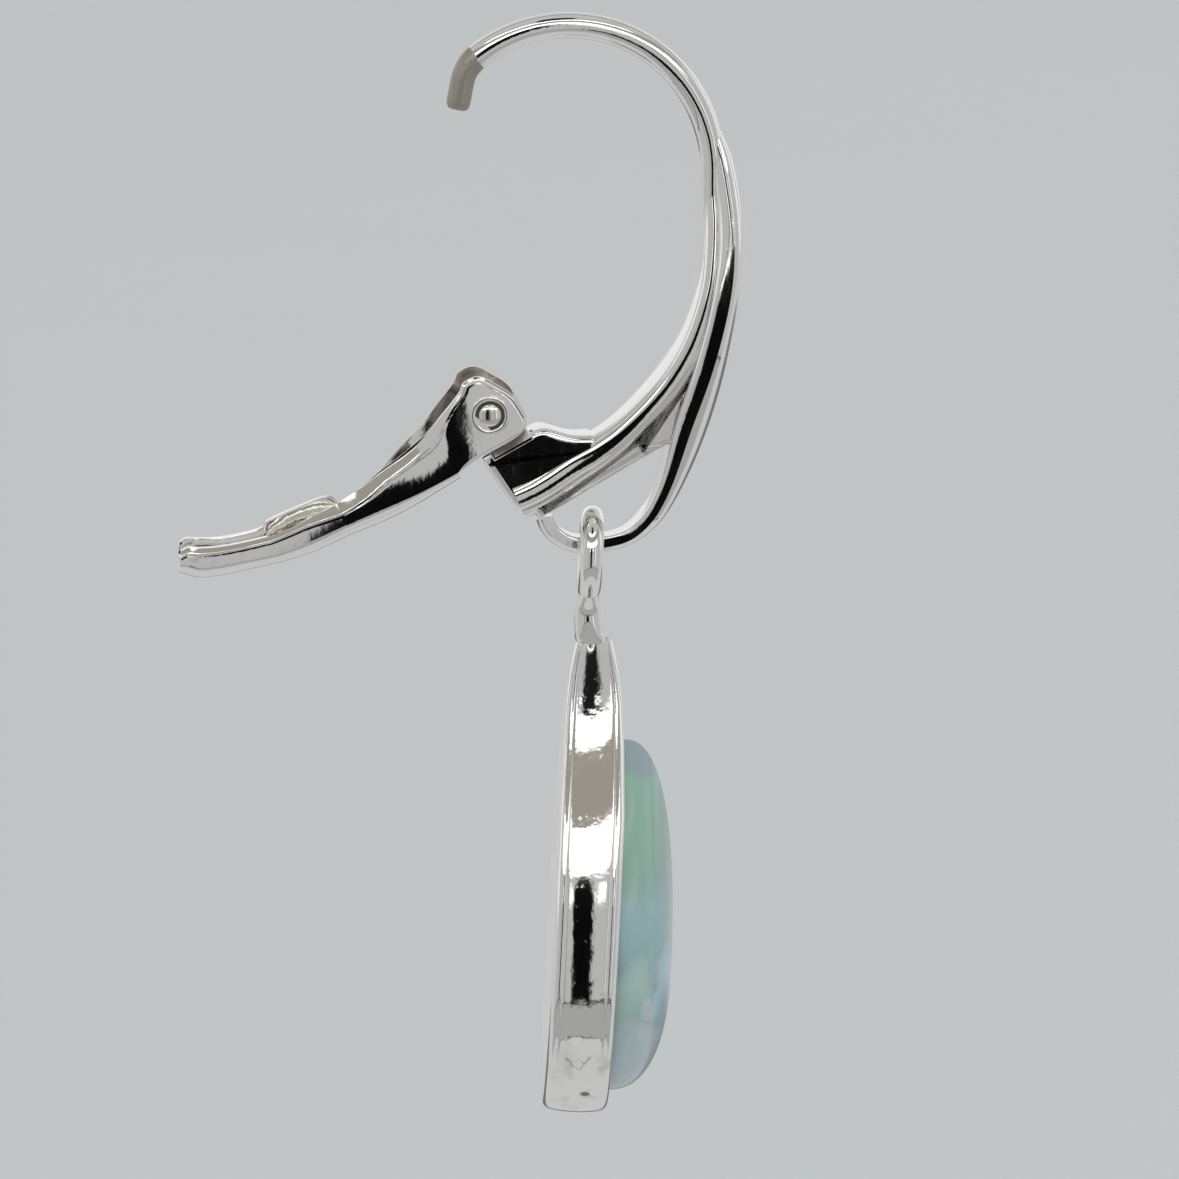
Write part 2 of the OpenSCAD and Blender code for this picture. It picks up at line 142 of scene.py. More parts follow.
# %% Expressions for shaders
class Tone:
    """A value that comes out of a node, and the tree that the node is in."""

    def __init__(self, tree, socket):
        self.tree, self.socket = tree, socket

    def plug(self, target, value):
        if isinstance(value, Tone):
            self.tree.links.new(value.socket, target)
        else:
            target.default_value = value

    def add(self, kind, out, settings=None, plugs=None, stops=None):
        """A node of this kind. Its settings come first, then its ramp's stops, then its sockets."""
        node = self.tree.nodes.new(kind)
        for key, value in (settings or {}).items():
            setattr(node, key, value)
        for place, (at, colour) in enumerate(stops or []):
            band = node.color_ramp.elements
            stop = band[place] if place < 2 else band.new(at)
            stop.position, stop.color = at, colour
        for key, value in (plugs or {}).items():
            self.plug(node.inputs[key], value)
        return Tone(self.tree, node.outputs[out])

    def maths(self, operation, *values):
        """A Math node on these values, in this order. Each is a Tone or a number."""
        return self.add("ShaderNodeMath", 0, {"operation": operation}, dict(enumerate(values)))

    def __add__(self, other): return self.maths("ADD", self, other)
    def __radd__(self, other): return self.maths("ADD", other, self)
    def __sub__(self, other): return self.maths("SUBTRACT", self, other)
    def __rsub__(self, other): return self.maths("SUBTRACT", other, self)
    def __mul__(self, other): return self.maths("MULTIPLY", self, other)
    def __rmul__(self, other): return self.maths("MULTIPLY", other, self)
    def __truediv__(self, other): return self.maths("DIVIDE", self, other)
    def __rtruediv__(self, other): return self.maths("DIVIDE", other, self)
    def __pow__(self, other): return self.maths("POWER", self, other)
    def __abs__(self): return self.maths("ABSOLUTE", self)

    def at_least(self, low): return self.maths("MAXIMUM", self, low)
    def at_most(self, high): return self.maths("MINIMUM", self, high)

    def part(self, which):
        """One part of this colour or position: 0, 1 and 2 are x, y and z."""
        return self.add("ShaderNodeSeparateXYZ", which, None, {"Vector": self})

    def step(self, low, high):
        """0 below low, 1 above high, and a smooth rise between them."""
        return self.add("ShaderNodeMapRange", "Result", {"interpolation_type": "SMOOTHSTEP"},
                        {"Value": self, "From Min": low, "From Max": high, "To Min": 0.0, "To Max": 1.0})

    def blend(self, first, second):
        """first where this value is 0, second where it is 1."""
        return self.add("ShaderNodeMix", 2, {"data_type": "RGBA"}, {0: self, 6: first, 7: second})


def start(name):
    """A new material: its Principled shader and its Object coordinates."""
    finish = bpy.data.materials.new(name)
    finish.use_nodes = True
    tree = finish.node_tree
    shader = tree.nodes["Principled BSDF"]
    coords = tree.nodes.new("ShaderNodeTexCoord")
    return finish, shader, Tone(tree, coords.outputs["Object"])


def grain(at, scale, detail=3.0, stretch=(1, 1, 1), turn=(0, 0, 0)):
    """Noise with this many features per metre, stretched and turned."""
    laid = at.add("ShaderNodeMapping", 0, None, {"Vector": at, "Rotation": turn, "Scale": stretch})
    return at.add("ShaderNodeTexNoise", "Fac", None, {"Vector": laid, "Scale": scale, "Detail": detail})


# %% [markdown]
# Polished silver is a mirror, so almost all that is seen in it is the studio. What makes it silver and not chrome is
# slight: a warm cast, faint hazy patches from handling, and the uneven skin that casting and tumbling leave, which
# makes the edges of every reflection look ragged.

# %% Silver finishes
def silver(name, tint, haze, uneven, rough, worn=0.0):
    """Metal of this tint. haze adds cloudy roughness, uneven sets how far the skin waves, worn adds pits."""
    finish, shader, at = start(name)
    clouds = grain(at, 420, 4).step(0.4, 0.75)
    stains = grain(at, 900, 5, (1, 1, 0.5)).step(0.58, 0.78)
    hairs = grain(at, 5200, 2, (1, 0.6, 0.12), (0.5, 0.3, 0.2)).step(0.60, 0.68)
    pits = grain(at, 3200, 2).step(0.66, 0.72)
    dark = tuple(c * 0.80 for c in tint[:2]) + (tint[2] * 0.72, 1.0)
    shade = (stains * 0.35 + clouds * 0.12 + pits * worn).blend((*tint, 1.0), dark)
    at.plug(shader.inputs["Base Color"], shade)
    shader.inputs["Metallic"].default_value = 1.0
    at.plug(shader.inputs["Roughness"], rough + clouds * haze + hairs * (haze * 0.5) + pits * worn)
    height = grain(at, 1500, 2) * 1.6 + grain(at, 5000, 2) * 0.5 - hairs * 0.05 - pits * worn * 2
    bump = at.add("ShaderNodeBump", "Normal", None, {"Strength": uneven, "Distance": 0.00001, "Height": height})
    at.plug(shader.inputs["Normal"], bump)
    return finish


bright = (0.93, 0.925, 0.905)
polished = silver("polished_silver", bright, 0.05, 0.35, 0.05)
setting_silver = silver("setting_silver", bright, 0.06, 0.4, 0.04, 0.10)
ground = silver("ground_tip_silver", (0.46, 0.43, 0.38), 0.12, 0.7, 0.48, 0.2)
pin_silver = silver("pin_silver", (0.88, 0.87, 0.83), 0.08, 0.4, 0.07)
cast = silver("cast_silver", (0.86, 0.85, 0.81), 0.10, 1.0, 0.14, 0.4)
# Nearly black silver for the thin rings in the pin's recesses: painted shade.
recess_shade = silver("recess_shade_silver", (0.16, 0.14, 0.12), 0.10, 0.6, 0.30)
print("silver finishes:", [m.name for m in bpy.data.materials if m.name.endswith("silver")])

# %% [markdown]
# Two pieces need more than one even finish. Each starts as a copy of a finish above. What fed its colour is found
# again and blended with a darker shade, so the haze and the pits stay as they were.

# %% Painted shade round the hinge
def further(base, name):
    """A copy of a finish to be worked further: the copy, its shader, its Object coordinates, and a way to fetch
    the Tone that feeds one of the shader's sockets."""
    finish = base.copy()
    finish.name = name
    tree = finish.node_tree
    shader = tree.nodes["Principled BSDF"]
    at = Tone(tree, next(n for n in tree.nodes if n.type == "TEX_COORD").outputs["Object"])
    return finish, shader, at, lambda socket: Tone(tree, shader.inputs[socket].links[0].from_socket)


def pin_shade_silver():
    """Polished silver that turns brown within about a millimetre and a half of the pin's axis: painted shade for the
    gap where the lever's plates close over the block.
    """
    finish, shader, at, fed = further(polished, "pin_shade_silver")
    x, z = ((at.part(i) - float(hinge_at[i] * MM)) / MM for i in (0, 2))
    far = (x * x + z * z) ** 0.5 + grain(at, 1500, 3) * 0.5
    # The brown within about 1.5 mm of the pin is painted shade for the gap between the lever's plates and the block.
    brown = 1 - far.step(1.45, 1.85)
    at.plug(shader.inputs["Base Color"], (brown * 0.9).blend(fed("Base Color"), (0.20, 0.16, 0.12, 1)))
    at.plug(shader.inputs["Roughness"], fed("Roughness") + brown * 0.22)
    return finish


shaded = pin_shade_silver()
print("stained round", hinge_at[[0, 2]].round(2))

# %% [markdown]
# The setting has been worn: near its bottom sit a pit and a small V-shaped scratch. Both are written as distances
# from a place in millimetres, and slow noise makes their edges uneven.

# %% Marks on the setting
def marked_silver():
    """The setting's silver with two marks of wear near its bottom: a small pit, and a scratch in the shape of a V,
    z = z0 + 1.2 |x - x0|, on the side that faces the camera."""
    finish, shader, at, fed = further(setting_silver, "marked_silver")
    x, y, z = (at.part(i) / MM for i in range(3))
    wave = grain(at, 3500, 3) * 0.6 - 0.3
    u, v = (x - 0.36 + wave * 0.3) / 0.20, (z + 35.36 + wave * 0.3) / 0.11
    pit = 1 - (u * u + v * v).step(0.3, 1.1)
    arm = abs(x - 0.02)
    scratch = (1 - abs(z + 34.35 - arm * 1.2 + wave).step(0.015, 0.06)) * (1 - arm.step(0.38, 0.46))
    mottle = grain(at, 1300, 4).step(0.50, 0.72) * (1 - z.step(-34.4, -33.4)) * 0.30
    marks = (pit + scratch * 0.55).at_most(0.95) * (1 - y.step(-2.0, -1.0))
    shade = (marks + mottle * (1 - marks)).blend(fed("Base Color"), (0.20, 0.19, 0.17, 1))
    at.plug(shader.inputs["Base Color"], shade)
    return finish


marked = marked_silver()
print("marked setting silver:", len(marked.node_tree.nodes), "nodes")

# %% [markdown]
# Opal is a milky blue-grey body with soft patches of sea green, lavender and blue; the two lightest, on its rim, are
# painted light. Each patch is an ellipse about a place on the stone, in millimetres, and slow noise bends its edge.
# Small flat tiles show faintly lower down.

# %% Opal
# middle x, middle z, half width, half height in millimetres, then the patch's colour
# The light blue patches about (3.3, -32.4) and (2.5, -34.9), on the dome's right edge and at its bottom, are painted
# light: a brighter rim.
opal_and_rim_light_patches = [
    ((2.5, -30.0, 1.3, 1.3), (0.26, 0.41, 0.42)), ((2.0, -32.2, 0.8, 1.3), (0.36, 0.52, 0.47)),
    ((2.6, -32.4, 0.3, 0.5), (0.48, 0.54, 0.60)), ((3.3, -32.4, 0.5, 1.9), (0.38, 0.58, 0.66)),
    ((2.5, -34.9, 1.7, 1.9), (0.55, 0.66, 0.70)), ((2.4, -24.2, 1.4, 0.6), (0.24, 0.29, 0.32))]


def opal_finish():
    """The stone's finish: patches laid over a grey-blue body one after the other, then tiles and milky haze."""
    finish, shader, at = start("opal")
    x, y, z = (at.part(i) / MM for i in range(3))
    bend_x = grain(at, 480, 3, (1, 0.25, 1)) * 1.6 - 0.8
    bend_z = grain(at, 300, 3, (1, 0.25, 1)) * 2.4 - 1.2

    def patch(x0, z0, wide, tall):
        """1 at the patch's middle, falling to 0 at its edge: 1 - ((x-x0)/wide)^2 - ((z-z0)/tall)^2, smoothed."""
        u, v = (x + bend_x - x0) / wide, (z + bend_z - z0) / tall
        return 1 - (u * u + v * v).step(0.35, 1.5)

    shade = patch(2.2, -26.4, 1.1, 2.6).blend((0.245, 0.35, 0.38, 1), (0.23, 0.37, 0.305, 1))
    for middle, colour in opal_and_rim_light_patches:
        shade = (patch(*middle) * 0.85).blend(shade, (*colour, 1))
    cells = at.add("ShaderNodeTexVoronoi", "Color", {"feature": "F1", "distance": "CHEBYCHEV"},
                   {"Vector": at, "Scale": 1500.0, "Randomness": 0.55})
    tile = cells.add("ShaderNodeSeparateColor", 0, None, {"Color": cells})
    low = 1 - z.step(-31.5, -29.5)
    shade = (tile.step(0.25, 0.9) * low * 0.20).blend(shade, (0.46, 0.53, 0.53, 1))
    milk = grain(at, 350, 4).step(0.45, 0.8)
    at.plug(shader.inputs["Base Color"], (milk * 0.15).blend(shade, (0.42, 0.47, 0.50, 1)))
    at.plug(shader.inputs["Roughness"], 0.2 + milk * 0.08)
    shader.inputs["IOR"].default_value = 1.45
    shader.inputs["Coat Weight"].default_value = 0.25
    shader.inputs["Coat Roughness"].default_value = 0.05
    shader.inputs["Subsurface Weight"].default_value = 0.2
    shader.inputs["Subsurface Radius"].default_value = (0.9, 1.0, 1.1)
    shader.inputs["Subsurface Scale"].default_value = 0.0005
    ripple = at.add("ShaderNodeBump", "Normal", None, {"Strength": 0.06, "Distance": 0.00002, "Height": milk})
    at.plug(shader.inputs["Normal"], ripple)
    return finish


opal = opal_finish()
print("opal:", len(opal_and_rim_light_patches) + 1, "patches")

# %% [markdown]
# The ear wire is one round wire: up the leg, over the arch, and down a short bend to a tip that was ground flat on
# two sides so that it slips through an ear. Its path is a line, two arcs and a line. The ground part keeps its
# dull, grey surface, so its faces take a second material.

# %% Ear wire
wire_r = 0.434
arch_r, arch_turn = 4.88, 128
tip_bend_r, tip_bend, tip_l, tip_t = 1.35, 41, 0.96, 0.78
arch_z = wire_r - arch_r


def arc(centre, radius, start_deg, end_deg, steps):
    """Points on an arc: the centre plus radius times (cos, sin)."""
    a = np.radians(np.linspace(start_deg, end_deg, steps))
    return np.stack([centre[0] + radius * np.cos(a), centre[1] + radius * np.sin(a)], -1)


def clipped_circles(radius, flat, count=40):
    """Circles of the given radii, cut off where their depth passes half of the flat thickness."""
    a = np.linspace(0, 2 * np.pi, count, endpoint=False)
    depth = np.clip(radius[:, None] * np.cos(a), -flat[:, None] / 2, flat[:, None] / 2)
    return np.stack([depth, radius[:, None] * np.sin(a)], -1)


turn, down = math.radians(arch_turn), math.radians(arch_turn + tip_bend + 90)
bend_at = np.array([0, arch_z]) + (arch_r - tip_bend_r) * np.array([math.cos(turn), math.sin(turn)])
leg = np.stack([np.full(12, arch_r), np.linspace(arch_z - 1.9, arch_z, 13)[:-1]], -1)
over = arc((0, arch_z), arch_r, 0, arch_turn, 110)
bend = arc(bend_at, tip_bend_r, arch_turn, arch_turn + tip_bend, 16)[1:]
end_steps = 1 - (1 - np.linspace(0, 1, 22)[1:]) ** 1.6
tip_line = bend[-1] + tip_l * end_steps[:, None] * np.array([math.cos(down), math.sin(down)])
wire_path = np.vstack([leg, over, bend, tip_line])
polished_rows = len(leg) + len(over)
along = np.clip((np.arange(len(wire_path)) - polished_rows + 1) / (len(wire_path) - polished_rows), 0, 1)
left = np.linalg.norm(wire_path - wire_path[-1], axis=1)
rounding = 1 - 0.38 * (1 - np.sqrt(1 - np.clip(1 - left / 0.30, 0, 1) ** 2))
wire_radius = wire_r * (1 - 0.03 * along) * rounding
ground_flat = (2 * wire_r + (tip_t - 2 * wire_r) * np.clip(along / 0.3, 0, 1) ** 0.8) * rounding
wire = build("ear_wire", carry(wire_path, clipped_circles(wire_radius, ground_flat)), "hook", polished)
wire.data.materials.append(ground)
face_at = np.array([p.center.to_tuple() for p in wire.data.polygons])[:, [0, 2]] / MM
nearest = np.linalg.norm(face_at[:, None] - wire_path[None], axis=2).argmin(axis=1)
wire.data.polygons.foreach_set("material_index", (nearest > polished_rows - 1).astype(np.int32))

# %% [markdown]
# The shield is the broad crowned strap down the front. It swells out of the wire, is widest a little over halfway
# down, narrows into a strong flat-sided strap, and curls under as the loop that the pendant hangs from. A table of
# sections says where its outer face runs, how thick and wide it is, and how much of its thickness is crown.

# %% Shield and loop
front_x, loop_drop, shield_t, shield_w = 6.0, 17.42, 1.25, 3.28
# x / front_x, drop / loop_drop, thickness / shield_t, width / shield_w, crown / thickness
shield_rows = [
    (0.760, 0.135, 0.28, 0.12, 0.50), (0.836, 0.166, 0.40, 0.16, 0.50), (0.872, 0.191, 0.50, 0.22, 0.50),
    (0.908, 0.220, 0.60, 0.29, 0.50), (0.938, 0.251, 0.67, 0.37, 0.50), (0.970, 0.302, 0.75, 0.50, 0.46),
    (0.991, 0.352, 0.79, 0.63, 0.42), (0.998, 0.410, 0.80, 0.78, 0.40), (0.978, 0.485, 0.82, 0.93, 0.40),
    (0.940, 0.557, 0.86, 0.98, 0.41), (0.896, 0.630, 0.92, 0.94, 0.43), (0.845, 0.698, 0.97, 0.85, 0.46),
    (0.786, 0.760, 0.98, 0.75, 0.48), (0.718, 0.820, 0.85, 0.66, 0.49), (0.645, 0.873, 0.69, 0.585, 0.48),
    (0.580, 0.913, 0.61, 0.53, 0.46), (0.515, 0.944, 0.55, 0.48, 0.43), (0.425, 0.970, 0.49, 0.42, 0.36),
    (0.340, 0.986, 0.45, 0.37, 0.31), (0.230, 0.996, 0.45, 0.33, 0.30), (0.110, 1.000, 0.45, 0.31, 0.30),
    (0.005, 0.996, 0.45, 0.30, 0.30), (-0.091, 0.979, 0.45, 0.30, 0.30), (-0.155, 0.952, 0.45, 0.30, 0.30),
    (-0.177, 0.932, 0.45, 0.30, 0.30)]


def band_sections(t, w, crown, roundness):
    """Half sections of a strap, mirrored. The crown is an arc of an ellipse up to 78 degrees, then a small edge,
    a flat side, and a rounded inner edge that runs into a slightly hollow inner face. Where the roundness is 1
    the section is a plain ellipse, depth t/2 (1 - cos a) and y w/2 sin a."""
    roundness = roundness[:, None]
    t, w, crown = t[:, None], w[:, None], crown[:, None]
    a = np.radians(np.linspace(0, 78, 12))
    rise = t * crown
    crown_d = rise * (1 - np.cos(a)) / (1 - math.cos(math.radians(78)))
    crown_y = (w / 2 - 0.03 * t) * np.sin(a) / math.sin(math.radians(78))
    e = 0.17 * t
    b = np.radians(np.linspace(0, 90, 6))
    edge_d, edge_y = rise + 0.05 * t, w / 2
    side_d = np.linspace(0, 1, 5)[1:-1] * (t - e - edge_d) + edge_d
    inner_d, inner_y = t - e + e * np.sin(b), w / 2 - e + e * np.cos(b)
    hollow = np.array([0.66, 0.33])
    back_d, back_y = t - 0.05 * t * (1 - hollow ** 2), (w / 2 - e) * hollow
    d = np.hstack([crown_d, edge_d, side_d, inner_d, back_d])
    y = np.hstack([crown_y, edge_y + 0 * edge_d, w / 2 + 0 * side_d, inner_y, back_y])
    g = np.linspace(0, np.pi, d.shape[1] + 1)[:-1]
    d = d + (t / 2 * (1 - np.cos(g)) - d) * roundness
    y = y + (w / 2 * np.sin(g) - y) * roundness
    mid = t - 0.05 * t * (1 - roundness)
    return np.stack([np.hstack([d, mid, d[:, :0:-1]]), np.hstack([y, 0 * mid, -y[:, :0:-1]])], -1)


def ease(x, low, high):
    """0 below low, 1 above high, 3t^2 - 2t^3 between."""
    t = np.clip((x - low) / (high - low), 0, 1)
    return t * t * (3 - 2 * t)


def evened(rows, reach):
    """Each row replaced by the mean of its neighbours, reach of them to each side. Past the ends the rows are
    mirrored through the end point, 2 end - row, so the ends stay where they are."""
    wide = np.vstack([2 * rows[:1] - rows[reach:0:-1], rows, 2 * rows[-1:] - rows[-2:-reach - 2:-1]])
    total = np.cumsum(np.vstack([0 * wide[:1], wide]), axis=0)
    return (total[2 * reach + 1:] - total[:-2 * reach - 1]) / (2 * reach + 1)


s = evened(through(shield_rows, 14), 8)
shield_path = np.stack([s[:, 0] * front_x, -s[:, 1] * loop_drop], -1)
still_round = 1 - ease(s[:, 1], 0.19, 0.54)
sections = band_sections(s[:, 2] * shield_t, s[:, 3] * shield_w, s[:, 4], still_round)
# The strap's sides draw in a little from front to back: y shrinks by up to 7% over its thickness.
deep = sections[..., 0] / (s[:, 2:3] * shield_t)
draw_in = 0.02 * ease(s[:, :1], 0.1, 0.4) + 0.05 * ease(s[:, :1], 0.62, 0.80)
sections[..., 1] *= 1 - draw_in * deep
shield_grid = carry(shield_path, sections)
build("shield", shield_grid, "hook", polished, crease=24, replaces=["ear_hook"], slot="hook_silver")

# %% [markdown]
# Behind the shield runs the inner branch. It leaves the wire's leg, follows the lobe down and back, and runs on
# along the lower half of the hinge block. Cast and tumbled silver has no hard corners, so its section is a squared
# circle: the cosine and sine of a circle raised to a power below one. Two grooves run along its last stretch.

# %% Inner branch
span, branch_t = arch_r - hinge_at[0], 1.1
# x from the pin / span, drop / loop_drop, thickness / branch_t, width / shield_w, depth of the grooves
branch_rows = [
    (1.000, 0.258, 0.45, 0.14, 0), (1.001, 0.304, 0.66, 0.26, 0), (1.005, 0.356, 0.74, 0.38, 0),
    (1.001, 0.407, 0.80, 0.50, 0), (0.989, 0.465, 0.84, 0.62, 0), (0.964, 0.516, 0.88, 0.70, 0),
    (0.923, 0.571, 0.92, 0.74, 0), (0.867, 0.622, 0.94, 0.74, 0), (0.788, 0.674, 0.94, 0.73, 0),
    (0.689, 0.723, 0.94, 0.71, 0.1), (0.590, 0.765, 0.99, 0.68, 0.3), (0.488, 0.799, 1.12, 0.65, 0.6),
    (0.383, 0.827, 1.22, 0.63, 0.9), (0.277, 0.858, 1.24, 0.63, 1), (0.205, 0.876, 1.25, 0.63, 1),
    (0.130, 0.8905, 1.25, 0.63, 1)]


def squared(count, power):
    """A circle pulled towards a square: sign(c)|c|^power and sign(s)|s|^power."""
    a = np.linspace(0, 2 * np.pi, count, endpoint=False)
    c, si = np.cos(a), np.sin(a)
    return np.sign(c) * np.abs(c) ** power, np.sign(si) * np.abs(si) ** power


s = through(branch_rows, 7)
branch_path = np.stack([hinge_at[0] + s[:, 0] * span, -s[:, 1] * loop_drop], -1)
power = 1 - 0.30 * ease(s[:, 1:2], 0.30, 0.60)
cx, cy = squared(72, power)
groove = sum(np.exp(-((cx - at) / 0.09) ** 2) for at in (-0.42, 0.10)) * 0.07
branch_y = s[:, 3:4] * shield_w / 2 * cy - np.sign(cy) * groove * s[:, 4:5]
build("branch", carry(branch_path, np.stack([s[:, 2:3] * branch_t / 2 * cx, branch_y], -1)), "hook", polished,
      crease=50)

# %% [markdown]
# Where branch and shield part, a small web fills the fork, and a straight fin runs on from it under the branch.
# The hinge block is a cast lump with a flat face, and a knuckle stands on the face for the pin. All are outlines
# with rounded corners, given a width and a rounded edge. Round the pin the silver is painted brown, as painted shade
# where the lever's plates close over the block.

# %% Web, hinge block and knuckle
def slab(outline, half_width, edge, rings=6, depth=None, lean=0.0):
    """A closed outline of (x, z) points as a slab across y. Near each side it draws in by edge * (1 - sin f)
    while y moves out by depth * cos f, which rounds the edge. With a lean, y changes by that share for each
    millimetre of x."""
    depth = depth or edge
    after = np.roll(outline, -1, 0)
    t = unit(after - np.roll(outline, 1, 0))
    area = np.sum(outline[:, 0] * after[:, 1] - after[:, 0] * outline[:, 1])
    inward = np.stack([-t[:, 1], t[:, 0]], -1) * np.sign(area)
    f = np.radians(np.linspace(0, 90, rings))
    rise, draw_in = depth * (1 - np.cos(f)), edge * (1 - np.sin(f))
    # The side is flat from the rounding's end inwards, so one more ring keeps its shading flat too.
    rise, draw_in = np.append(0.0, rise), np.append(edge + 0.05, draw_in)
    y = np.concatenate([-half_width + rise, half_width - rise[::-1]])
    inset = np.concatenate([draw_in, draw_in[::-1]])
    flat = outline[None] + inward[None] * inset[:, None, None]
    y = y[:, None] * (1 + lean * (flat[..., 0] - outline[:, 0].max()))
    return np.stack([flat[..., 0], y, flat[..., 1]], -1)


web_outline = fillet([(3.97, -10.46), (4.75, -10.46), (4.0, -13.4), (3.65, -13.73), (3.3, -13.67), (3.1, -13.79),
                      (2.2, -13.9), (2.6, -12.9)], [0.1, 0.1, 0.3, 0.1, 0.2, 0.25, 0.1, 0.1])
build("fork_web", slab(web_outline, 0.80, 0.24, lean=-0.05), "hook", cast, crease=50)
fin_outline = fillet([(3.30, -13.67), (-1.05, -16.17), (-1.35, -15.3), (0.55, -14.1), (2.90, -12.75)],
                     [0.2, 0.15, 0.2, 0.2, 0.2], 8)
build("branch_fin", slab(fin_outline, 0.74, 0.38, 10, 0.24, -0.05), "hook", cast, crease=50)

block_tilt = math.radians(29.4)
tilt = np.array([[math.cos(block_tilt), math.sin(block_tilt)], [-math.sin(block_tilt), math.cos(block_tilt)]])
pin_xz = hinge_at[[0, 2]]
# The block drawn upright with the pin at the centre: its face first, then round its far end.
block_points = np.array([(-0.97, -1.3), (1.30, -1.3), (2.10, -2.14), (2.75, -2.48), (2.6, -3.1), (1.9, -3.3),
                         (-0.70, -3.6), (-0.86, -2.9)])
block_outline = fillet(block_points, [0.10, 0.35, 0.5, 0.2, 0.2, 0.3, 0.3, 0.4]) @ tilt + pin_xz
build("hinge_block", slab(block_outline, 1.0, 0.26, lean=0.045), "hook", shaded, crease=30)
knuckle_points = fillet([(-0.65, 0.65), (0.65, 0.65), (0.65, -0.3), (0.90, -1.5), (-0.65, -1.5)],
                        [0.64, 0.64, 0.3, 0.05, 0.05], 12)
build("knuckle", slab(knuckle_points @ tilt + pin_xz, 1.045, 0.06), "hook", shaded, crease=30)

# %% [markdown]
# The lever is pressed from sheet: two flat sides joined by a crowned back. It is drawn in its own directions, s
# along it and h across it, and then turned about the pin. The far side has a raised lip halfway. The tip is cut at
# a slant and curls up.

# %% Lever
lever_dir = math.radians(204.5)
lever_l, lever_h, wall = 11.34, 2.49, 0.36
lever_w, tip_w = 2.9, 1.73
end_slant, slant_from, relief = 0.6, 0.85, 1.85
# s / lever_l, then near top, far top, lower edge of the sides, crown of the back / lever_h, then width blend
lever_rows = [
    (-0.097, -0.20, -0.20, -0.26, -0.27, 0), (-0.087, 0.09, 0.09, -0.34, -0.42, 0),
    (-0.059, 0.31, 0.31, -0.42, -0.53, 0), (-0.018, 0.53, 0.53, -0.45, -0.58, 0), (0.030, 0.54, 0.54, -0.46, -0.60, 0),
    (0.056, 0.44, 0.44, -0.47, -0.61, 0), (0.132, 0.26, 0.26, -0.51, -0.65, 0.06),
    (0.193, 0.12, 0.12, -0.54, -0.69, 0.20), (0.290, -0.02, -0.04, -0.57, -0.75, 0.45),
    (0.366, -0.10, -0.20, -0.57, -0.78, 0.62), (0.437, -0.20, -0.34, -0.56, -0.78, 0.75),
    (0.508, -0.25, -0.36, -0.56, -0.76, 0.86), (0.534, -0.26, -0.20, -0.56, -0.76, 0.89),
    (0.640, -0.28, -0.16, -0.56, -0.76, 0.98), (0.727, -0.27, -0.16, -0.53, -0.71, 1),
    (0.757, -0.25, -0.21, -0.51, -0.68, 1), (0.854, -0.15, -0.12, -0.40, -0.58, 1),
    (0.935, -0.02, 0.02, -0.27, -0.44, 0.99), (0.975, 0.06, 0.09, -0.15, -0.31, 0.97),
    (1.000, 0.06, 0.08, -0.10, -0.22, 0.95)]


def at_lever(sh, y):
    """Points (s, h) of the lever and their y, turned about the pin: s points along the lever, h towards its open
    side."""
    c, si = math.cos(lever_dir), math.sin(lever_dir)
    x = hinge_at[0] + sh[..., 0] * c + sh[..., 1] * si
    z = hinge_at[2] + sh[..., 0] * si - sh[..., 1] * c
    return np.stack([x, y, z], -1)


def slanted(s, h):
    """The end of the lever leans: s gives way by end_slant * h, eased in over the last part."""
    lean = end_slant * np.clip(s / lever_l - slant_from, 0, 1) / (1 - slant_from)
    return np.stack([s - lean * h, h], -1)


L = through(lever_rows, 10)
ls, near_top, far_top = L[:, 0] * lever_l, L[:, 1] * lever_h, L[:, 2] * lever_h
low, crown_h = L[:, 3] * lever_h, L[:, 4] * lever_h
half_w = (lever_w + (tip_w - lever_w) * L[:, 5]) / 2

# %% [markdown]
# Each side is one wall thick. Its outer face is a height field over the distance d to its top rim: a flat bevel
# makes the bright rail along the rim, with a fine groove under it. The lower rim by the hinge is rounded by
# r - sqrt(r^2 - (r - d)^2). Below, the side meets the back without a seam.

# %% Sides of the lever
bevel_slope, groove_depth, groove_w, low_round = 0.62, 0.018, 0.035, 0.15
# By the hinge the side is slightly rounded: it falls back with the square of the distance from pillow_end.
pillow_share, pillow_end = 0.020, 1.7


def nearest_gap(points, run):
    """The distance from each point to the nearest point of a run, which is first filled in 16 times as finely."""
    fine = np.linspace(0, 1, 16)[:, None, None]
    run = ((1 - fine) * run[None, :-1] + fine * run[None, 1:]).reshape(-1, 2)
    return np.concatenate([np.sqrt(((p[:, None] - run) ** 2).sum(-1).min(1)) for p in np.array_split(points, 12)])


